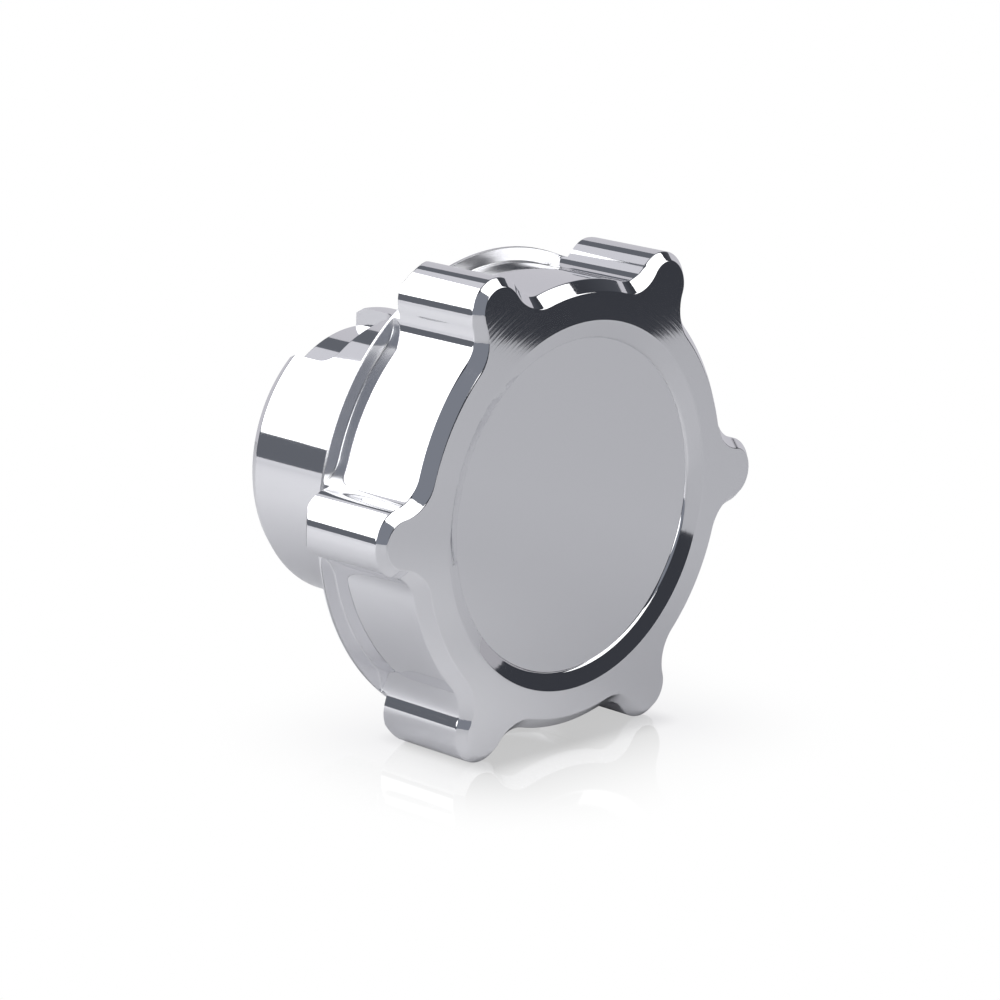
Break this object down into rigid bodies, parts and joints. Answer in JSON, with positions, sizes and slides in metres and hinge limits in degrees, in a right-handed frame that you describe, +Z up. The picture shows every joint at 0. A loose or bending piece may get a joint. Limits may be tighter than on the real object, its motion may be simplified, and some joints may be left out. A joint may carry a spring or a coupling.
{
  "type": "oil filler cap",
  "caption": "Round oil filler cap in polished aluminium with a lobed grip, a dished front, a notched plain neck and a rubber seal ring.",
  "frame": {"origin": "on the cap's turning axis, at the rear face of the flange where the neck starts", "axes": "+Y along the neck, away from the grip; +Z up when the cap lies on two neighbouring lobes; +X through a lobe"},
  "size_m": [0.075, 0.0438, 0.0662],
  "materials": {
    "polished_aluminium": "polished",
    "black_rubber": "matte"
  },
  "bodies": {
    "root": {"cap_body": "polished_aluminium", "seal_ring": "black_rubber"}
  },
  "joints": []
}
